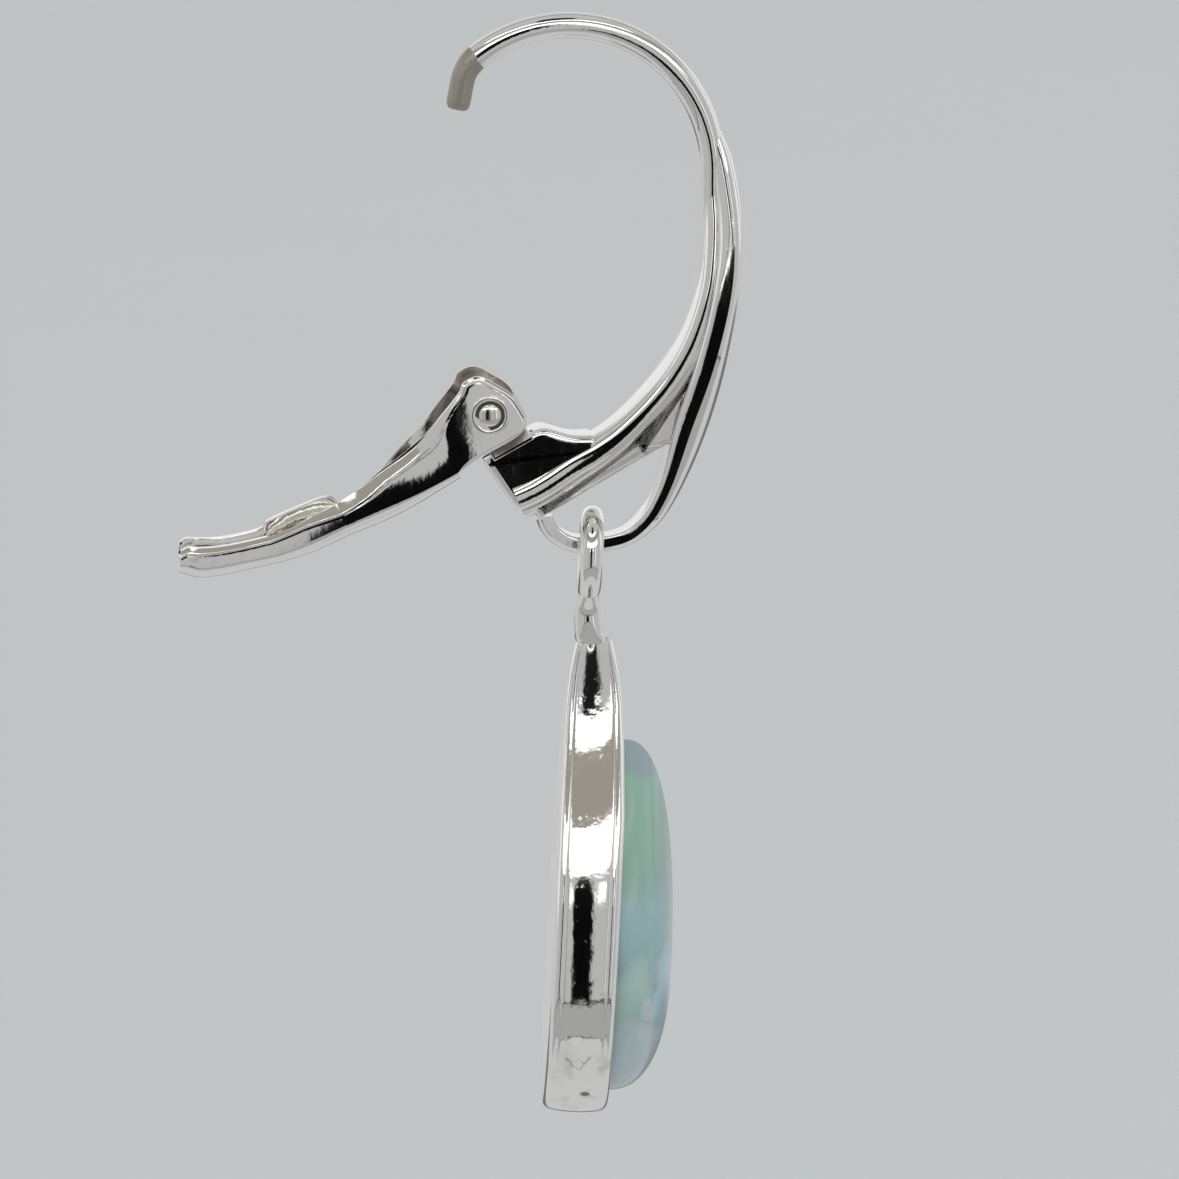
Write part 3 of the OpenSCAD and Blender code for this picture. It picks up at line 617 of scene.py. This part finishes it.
def lever_side(name, top, side, **notes):
    """One side of the lever from its hinge end to its tip."""
    u = (1 - np.cos(np.linspace(0, np.pi, 44))) / 2
    tall = np.maximum(top - low, 0.05)[:, None]
    h = low[:, None] + tall * u
    s_all = np.broadcast_to(ls[:, None], h.shape)
    points = np.stack([s_all, h], -1).reshape(-1, 2)
    rim_top = np.stack([ls[:1].repeat(2), [low[0], top[0]]], -1), np.stack([ls, top], -1)
    d = nearest_gap(points, np.concatenate(rim_top)).reshape(h.shape)
    d_low = nearest_gap(points, np.stack([ls, low], -1)[ls < relief]).reshape(h.shape)
    rail = 0.10 + 0.26 * ease(s_all, 0.8, 2.4) * (1 - 0.75 * ease(s_all, 5.6, 7.4))
    groove = groove_depth * np.exp(-((d - rail - 0.05) / groove_w) ** 2)
    bevel = bevel_slope * np.clip(rail - d, 0, None) + groove
    r = low_round
    round_low = (r - np.sqrt(np.clip(r * r - np.clip(r - d_low, 0, r) ** 2, 0, None))) * (1 - ease(s_all, 0.9, 1.8))
    pillow = pillow_share * np.clip(pillow_end - s_all, 0, None) ** 2
    steep = 0.03 + 0.10 * ease(s_all, 1.4, 2.8) - 0.18 * ease(s_all, 4.8, 6.4)
    lean_in = (steep * u - 0.04 * ease(s_all, 5.4, 7.4)) * (h - low[:, None])
    outer = half_w[:, None] - lean_in - pillow - bevel - round_low
    inner_h = low[:, None] + tall * np.array([1, 0.93, 0.5, 0])
    inner = np.broadcast_to(half_w[:, None] - wall, inner_h.shape) - 0.03 * np.array([1, 0, 0, 0])
    hh, yy = np.hstack([h, inner_h]), side * np.hstack([np.maximum(outer, half_w[:, None] - wall + 0.03), inner])
    return build(name, at_lever(slanted(np.broadcast_to(ls[:, None], hh.shape), hh), yy), "lever", polished,
                 crease=60, **notes)


lever_side("lever_near_side", near_top, -1, replaces=["lever"], slot="lever_silver")
lever_side("lever_far_side", far_top, 1)

# %% [markdown]
# The back of the lever spans both sides: half an ellipse outside and half a smaller one inside. It starts where the
# hinge block needs no more room and runs to the tip.

# %% Back of the lever
keep = ls > relief - 0.1
a = np.radians(np.linspace(0, 180, 31))
out_y, out_h = -half_w[keep, None] * np.cos(a), low[keep, None] + (crown_h - low)[keep, None] * np.sin(a)
in_y = -(half_w[keep, None] - wall) * np.cos(a[::-1])
in_h = low[keep, None] + wall * 0.3 + (crown_h - low + wall * 0.7)[keep, None] * np.sin(a[::-1])
back_h, back_y = np.hstack([out_h, in_h]), np.hstack([out_y, in_y])
build("lever_back", at_lever(slanted(np.broadcast_to(ls[keep, None], back_h.shape), back_h), back_y), "lever",
      polished, crease=50)

# %% [markdown]
# The pin is a short piece of drawn wire. Its ends are hammered into domes, and each sits in a recess inside a
# ring that the hammer raised round it; a thin dark ring laid in each recess is painted shade. These are turned shapes:
# a profile of radius and height, spun about the pin.

# %% Hinge pin
def spun(profile, count=48):
    """A profile of (radius, y) spun about the pin: x = r cos f, z = r sin f."""
    f = np.linspace(0, 2 * np.pi, count + 1)[:, None]
    r, y = profile[None, :, 0], profile[None, :, 1]
    return np.stack([hinge_at[0] + r * np.cos(f), y + 0 * f, hinge_at[2] + r * np.sin(f)], -1)


pin_r, half_l = 0.39, lever_w / 2
plate_y = half_l - pillow_share * pillow_end ** 2
dome = np.radians(np.linspace(0.5, 90, 12))
pin_half = np.stack([pin_r * np.sin(dome), plate_y - 0.02 + 0.138 * np.cos(dome)], -1)
pin_profile = np.vstack([pin_half * (1, -1), pin_half[::-1]])
pin = spun(pin_profile)[:-1].transpose(1, 0, 2)
build("hinge_pin_domed", pin, "lever", pin_silver, crease=50, replaces=["hinge_pin"], slot="pin_silver")
swell = np.radians(np.linspace(0, 180, 10))
collar = np.stack([0.575 + 0.095 * np.cos(swell), plate_y - 0.02 + 0.055 * np.sin(swell)], -1)
# A thin dark ring in each recess round the dome: painted shade.
recess = np.array([(0.37, plate_y - 0.10), (0.50, plate_y - 0.10), (0.50, plate_y + 0.006), (0.37, plate_y + 0.006)])
for name, side in (("near", -1), ("far", 1)):
    build("pin_collar_" + name, spun(np.vstack([collar, [(0.48, plate_y - 0.1), (0.67, plate_y - 0.1)]]) * (1, side)),
          "lever", pin_silver, closed_ends=False, crease=50)
    build("pin_recess_shade_" + name, spun(recess * (1, side)), "lever", recess_shade, closed_ends=False, crease=30)

# %% [markdown]
# The pendant is drawn upright below the middle of its ring and then turned: it leans a little, as the photo shows,
# and is twisted a few degrees. Both turns come from the ring's axis in the frame.

# %% Pendant directions and teardrop
lean = math.asin(-ring_axis[2])
twist = math.atan2(ring_axis[1], ring_axis[0])


def at_pendant(p):
    """Points drawn with the ring's middle at the origin, leaned about y and then twisted about z."""
    x = p[..., 0] * math.cos(lean) + p[..., 2] * math.sin(lean)
    z = -p[..., 0] * math.sin(lean) + p[..., 2] * math.cos(lean)
    c, si = math.cos(twist), math.sin(twist)
    return np.stack([x * c - p[..., 1] * si, x * si + p[..., 1] * c, z], -1) + ring_at


drop_peak, drop_soft = 0.7945, 0.85


def teardrop(length, width, top, count=160):
    """A teardrop in (y, z): y = width/2 * sin a * sin(a/2)^soft / peak and z = -top - length * (1 - cos a)/2."""
    a = np.radians(360 * (np.arange(count) + 0.5) / count)
    y = width / 2 * np.sin(a) * np.abs(np.sin(a / 2)) ** drop_soft / drop_peak
    return np.stack([y, -top - length * (1 - np.cos(a)) / 2], -1)


# %% [markdown]
# The setting is a closed box for the stone. Its flank is a slightly crowned mirror band between two narrow rims,
# and it thins towards the point. The table gives places from its middle to one face, and how far each lies inside
# the outline. The other half is its mirror image.

# %% Setting
ring_d, ring_wire, neck_l = 3.2, 0.8, 1.15
setting_l, setting_w, setting_t, setting_fore = 16.37, 9.46, 2.19, 0.42
packed_l, packed_t = 16.4, 2.2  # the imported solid, whose seat holds the stone, is a touch larger
stone_l, stone_w, lower_rim, seat_gap = 12.0, 8.0, 0.86, 0.05
setting_top = ring_d / 2 + neck_l
stone_top = setting_top + packed_l - lower_rim - stone_l
# place from the middle (0) to a face (1), inset / setting_t, and the same inset without the groove
half_flank = [(0, 0, 0), (0.2, 0.003, 0.003), (0.4, 0.010, 0.010), (0.6, 0.024, 0.022), (0.66, 0.034, 0.027),
              (0.69, 0.045, 0.030), (0.72, 0.036, 0.033), (0.78, 0.036, 0.039), (0.86, 0.050, 0.056),
              (0.93, 0.085, 0.085), (0.98, 0.125, 0.125), (1.0, 0.16, 0.16)]
flank_rows = [(-place, *insets) for place, *insets in half_flank[:0:-1]] + half_flank
# share of the length below the top, share of the thickness there, shift forward
taper_rows = np.array([(0, 0.5, -0.14), (0.04, 0.65, -0.12), (0.084, 0.78, -0.09), (0.13, 0.86, -0.06),
                       (0.21, 0.93, -0.03), (0.34, 1, 0), (1, 1, 0)])


def ring_of(place, outline):
    """An outline of (y, z) points at a place through the setting."""
    down = (-outline[:, 1] - setting_top) / packed_l
    half = setting_t / 2 * np.interp(down, taper_rows[:, 0], taper_rows[:, 1])
    x = setting_fore + np.interp(down, taper_rows[:, 0], taper_rows[:, 2]) + place * half
    return np.stack([x, outline[:, 0], outline[:, 1]], -1)


def shrunk(outline, share):
    """The outline drawn in towards the middle of the drop."""
    middle = np.array([0, -setting_top - 0.6 * setting_l])
    return middle + (outline - middle) * share


def stepped_in(inset):
    """The setting's outline, stepped in by this share of its thickness."""
    step = inset * setting_t
    return teardrop(setting_l - 2 * step, setting_w - 2 * step, setting_top + step)


back_line = stepped_in(half_flank[-1][1])
rings = [ring_of(-1.0, shrunk(back_line, share)) for share in (0.02, 0.3, 0.6, 0.85, 0.96)]
# The groove fades out towards the round bottom, so it blends with the plain outline as the drop goes down.
fade = ease((-stepped_in(0)[:, 1:] - setting_top) / setting_l, 0.72, 0.95)
for place, grooved, plain in through(flank_rows, 3):
    grooved, plain = stepped_in(grooved), stepped_in(plain)
    rings.append(ring_of(place, grooved + (plain - grooved) * fade))
seat = teardrop(stone_l + 2 * seat_gap, stone_w + 2 * seat_gap, stone_top - seat_gap)
lip = teardrop(stone_l + 0.4, stone_w + 0.4, stone_top - 0.2)
rings += [ring_of(1.0, lip), ring_of(1.0, lip + (seat - lip) * 0.6), ring_of(0.985, lip + (seat - lip) * 0.9),
          ring_of(0.95, seat), ring_of(0.5, seat), ring_of(0.5, shrunk(seat, 0.02))]
build("setting", at_pendant(np.array(rings)), "pendant", marked, crease=40, replaces=["pendant_setting"],
      slot="setting_silver")

# %% [markdown]
# Ring and neck are soldered to the setting's point. The ring is a plain round wire ring. The neck swells from the
# ring's thickness to the setting's. The file that took off the extra solder left a small drop-shaped flat on each
# side: there the section's y is held below a slanting plane.

# %% Ring and neck
f = np.linspace(0, 2 * np.pi, 97)[:, None]
g = np.linspace(0, 2 * np.pi, 32, endpoint=False)[None]
tube = (ring_d - ring_wire) / 2 + ring_wire / 2 * np.cos(g)
ring_grid = np.stack([ring_wire / 2 * np.sin(g) + 0 * f, tube * np.sin(f), tube * np.cos(f)], -1)
build("pendant_ring", at_pendant(ring_grid), "pendant", polished, closed_ends=False, crease=50)

# height below the ring's middle, half thickness through (x), half width across (y), shift forward
neck_rows = [(1.02, 0.30, 0.80, 0.00), (1.25, 0.40, 0.80, 0.00), (1.50, 0.43, 0.71, 0.00),
             (1.88, 0.49, 0.54, 0.00), (2.25, 0.50, 0.48, 0.03), (2.60, 0.51, 0.45, 0.08),
             (2.85, 0.52, 0.44, 0.13), (3.05, 0.50, 0.32, 0.18), (3.30, 0.45, 0.18, 0.25)]
s = through(neck_rows, 12)
cx, cy = squared(56, 0.95)
side_y = s[:, 2:3] * cy
file_from, file_y, file_slant = 1.98, 0.5424, 0.22
filed = np.where(s[:, :1] > file_from, file_y - file_slant * (s[:, :1] - file_from), 1.0)
held = np.minimum(np.abs(side_y), filed)
neck_grid = np.stack([s[:, 3:4] + s[:, 1:2] * cx, np.sign(cy) * held, -s[:, :1] + 0 * side_y], -1)
build("pendant_neck", at_pendant(neck_grid), "pendant", polished, crease=50)

# %% [markdown]
# The stone is a pear cabochon: a flat base, a short straight side, and a full dome. The dome's height rises with
# the sine of an angle and its outline draws in with the cosine, both raised to a power a little below one, which
# keeps its shoulders full.

# %% Opal stone
dome_h, dome_power = 1.94, 0.87
setting_front = setting_fore + packed_t / 2
base = teardrop(stone_l - 0.02, stone_w - 0.02, stone_top + 0.01)
heart = np.array([0, -stone_top - 2 / 3 * stone_l])
angle = np.radians(np.linspace(0, 89.7, 36))
height = np.concatenate([[-0.5, -0.2], dome_h * np.sin(angle) ** dome_power])
reach = np.concatenate([[1.0, 1.0], np.cos(angle) ** dome_power])
lines = heart + (base - heart)[None] * reach[:, None, None]
stone_grid = np.dstack([np.broadcast_to(setting_front + height[:, None], lines.shape[:2]), lines])
build("opal_cabochon", at_pendant(stone_grid), "pendant", opal, crease=60, replaces=["opal_stone"], slot="opal")

# %% [markdown]
# A mirror needs something to reflect. The studio is one grey room: two soft white panels high in front, a warm
# wall between them, a floor with two seams, and a dark upright column in the middle with a bright spot on each
# side. The room is painted on the sky as a function of direction: slope is the height over the level distance,
# and side is x over the distance ahead. So each patch below is a range of slopes and sides.

# %% Directions in the room
world = bpy.data.worlds.new("studio")
bpy.context.scene.world = world
world.use_nodes = True
tree = world.node_tree
sky = tree.nodes["Background"]
look = Tone(tree, tree.nodes.new("ShaderNodeTexCoord").outputs["Generated"])
dx, dy, dz = (look.part(i) for i in range(3))
front = dy * -1.0
ahead = front.step(-0.02, 0.12)
slope = dz / (dx * dx + dy * dy + 0.0004) ** 0.5
side = dx / front.at_least(0.02)
floor_edge, floor_seam, panel_foot = -0.50, -1.13, 0.39


def between(value, low, high, soft):
    """1 where the value lies between low and high, with soft edges."""
    return value.step(low - soft, low + soft) * (1 - value.step(high - soft, high + soft))


# %% [markdown]
# Each part of the room is now a mask: 1 in the directions where it is seen, and 0 elsewhere. They say how the
# highlights lie on the silver, such as the dark column down the setting's flank between its two white panels.

# %% Parts of the room
near_floor = 1 - slope.step(floor_seam - 0.02, floor_seam + 0.02)
far_floor = between(slope, floor_seam, floor_edge, 0.02)
front_tone = 0.48 - far_floor * 0.10 + near_floor * 0.09
back_tone = 0.58 + slope.step(-0.02, 0.04) * (0.27 - slope.step(0.35, 0.7) * 0.30)
wall_tone = front_tone * ahead + back_tone * (1 - ahead)
seams = (between(slope, -0.515, -0.485, 0.01) + between(slope, -1.145, -1.115, 0.01)) * ahead
panels = (between(slope, panel_foot, 0.65, 0.02) + between(slope, 1.15, 1.43, 0.04)) * ahead
panels = panels * between(side, -1.3, 1.3, 0.1)
warm = between(slope, 0.65, 1.15, 0.03) * ahead
frames = between(side, 0.40, 0.50, 0.02) + between(side, -0.58, -0.46, 0.02)
frames = frames * between(slope, floor_edge, panel_foot, 0.02)
glow = between(side, 0.56, 0.74, 0.03) * between(slope, -0.40, panel_foot, 0.02)
under = between(slope, floor_edge, -0.24, 0.03) * dy.step(0.5, 0.7)
# The dark column's foot is rounded: the slope where it starts rises with the square of the distance to its middle.
from_middle = side + 0.105
column = between(side, -0.26, 0.05, 0.02) * between(slope + from_middle * from_middle * 4.0, -0.47, panel_foot, 0.03)
dark = (column + frames * 0.45) * ahead
spots = between(side, 0.09, 0.26, 0.03) + between(side, -0.40, -0.29, 0.03)
spots = spots * (between(slope, 0.22, 0.32, 0.03) + between(slope, 1.54, 1.64, 0.03))
lintel = between(dx, -0.13, 0.13, 0.03) * slope.step(1.38, 1.48) * (1 - dy.step(-0.32, -0.2))
edge_line = between(dy, 0.34, 0.44, 0.03) * dz.step(-0.05, 0.1)

# %% [markdown]
# Each shade takes its share off the wall's tone, one after the other, and the lights are added last. The warm wall
# also tints the colour. One soft square light does what a painted sky does badly: it shades the table and the stone.

# %% Light of the room
tone = wall_tone * (1 - warm * 0.30) * (1 - dark * 0.993) * (1 - lintel * 0.98) * (1 - seams * 0.75)
tone = tone * (1 - edge_line * 0.7) * (1 - under * 0.7) + panels * 1.4 + (glow * 0.45 + spots) * ahead
look.plug(sky.inputs["Color"], warm.blend((1.0, 1.0, 1.0, 1), (1.0, 0.93, 0.82, 1)))
look.plug(sky.inputs["Strength"], tone)
print("room:", len(tree.nodes), "nodes")


def panel(name, place, aim, size, power):
    """A soft square light that faces the point aim."""
    data = bpy.data.lights.new(name, "AREA")
    data.shape, data.size, data.energy = "SQUARE", size, power
    lamp = bpy.data.objects.new(name, data)
    bpy.context.scene.collection.objects.link(lamp)
    lamp.location = place
    lamp.rotation_euler = (Vector(aim) - Vector(place)).to_track_quat("-Z", "Y").to_euler()
    lamp.visible_glossy = False


panel("key_panel", (0.30, -0.30, 1.25), (0, 0.10, -0.05), 0.6, 12.0)

# %% [markdown]
# The earring hangs above a pale table that runs far back, so that the table is also the backdrop. Less light reaches
# its far end, and a slightly lighter tint there keeps the backdrop even. The table in the reflections is the one
# painted on the sky, so this one is left out of them.

# %% Table
finish, shader, at = start("pale_table")
far = at.part(1).step(0.0, 0.75)
tint = (far * 0.9 + grain(at, 40, 3) * 0.1).blend((0.447, 0.469, 0.481, 1), (0.522, 0.541, 0.549, 1))
at.plug(shader.inputs["Base Color"], tint)
shader.inputs["Roughness"].default_value = 0.75
table_z, table_reach, count = -0.050, 3.0, 24
u = np.linspace(-table_reach, table_reach, count)
gx, gy = np.meshgrid(u, u, indexing="ij")
index = np.arange(count * count).reshape(count, count)
quads = np.stack([index[:-1, :-1], index[1:, :-1], index[1:, 1:], index[:-1, 1:]], -1).reshape(-1, 4)
mesh = bpy.data.meshes.new("table")
mesh.from_pydata(np.stack([gx, gy, np.full_like(gx, table_z)], -1).reshape(-1, 3).tolist(), [], quads.tolist())
mesh.materials.append(finish)
table = bpy.data.objects.new("table", mesh)
bpy.context.scene.collection.objects.link(table)
table.visible_glossy = False
print("table top at", table_z * 1000, "mm")

# %% [markdown]
# The photo was taken with a long lens from slightly above and a few degrees to the back of the earring. One
# millimetre at the earring is 30 pixels of the 1179 pixel frame.

# %% Camera
azimuth, elevation, distance = math.radians(-5), math.radians(10), 0.40
frame_px, px_per_mm = 1179, 30.0
origin_px = (567.0, 38.0)
right = np.array([math.cos(azimuth), math.sin(azimuth), 0])
forward = np.array([-math.sin(azimuth) * math.cos(elevation), math.cos(azimuth) * math.cos(elevation),
                  -math.sin(elevation)])
upward = np.cross(right, forward)
shift = (frame_px / 2 - origin_px[0]) / px_per_mm * MM, (origin_px[1] - frame_px / 2) / px_per_mm * MM
aim = right * shift[0] + upward * shift[1]
camera_data = bpy.data.cameras.new("photo_camera")
camera_data.sensor_width = 36
camera_data.lens = 36 * distance / (frame_px / px_per_mm * MM)
camera_data.clip_start = 0.01
camera = bpy.data.objects.new("photo_camera", camera_data)
bpy.context.scene.collection.objects.link(camera)
turn_to = np.column_stack([right, upward, -forward])
camera.matrix_world = Matrix.Translation(aim - forward * distance) @ Matrix(turn_to.tolist()).to_4x4()
bpy.context.scene.camera = camera
bpy.context.scene.view_settings.view_transform = "Standard"
print(f"camera: {camera_data.lens:.0f} mm lens, {distance * 1000:.0f} mm away")
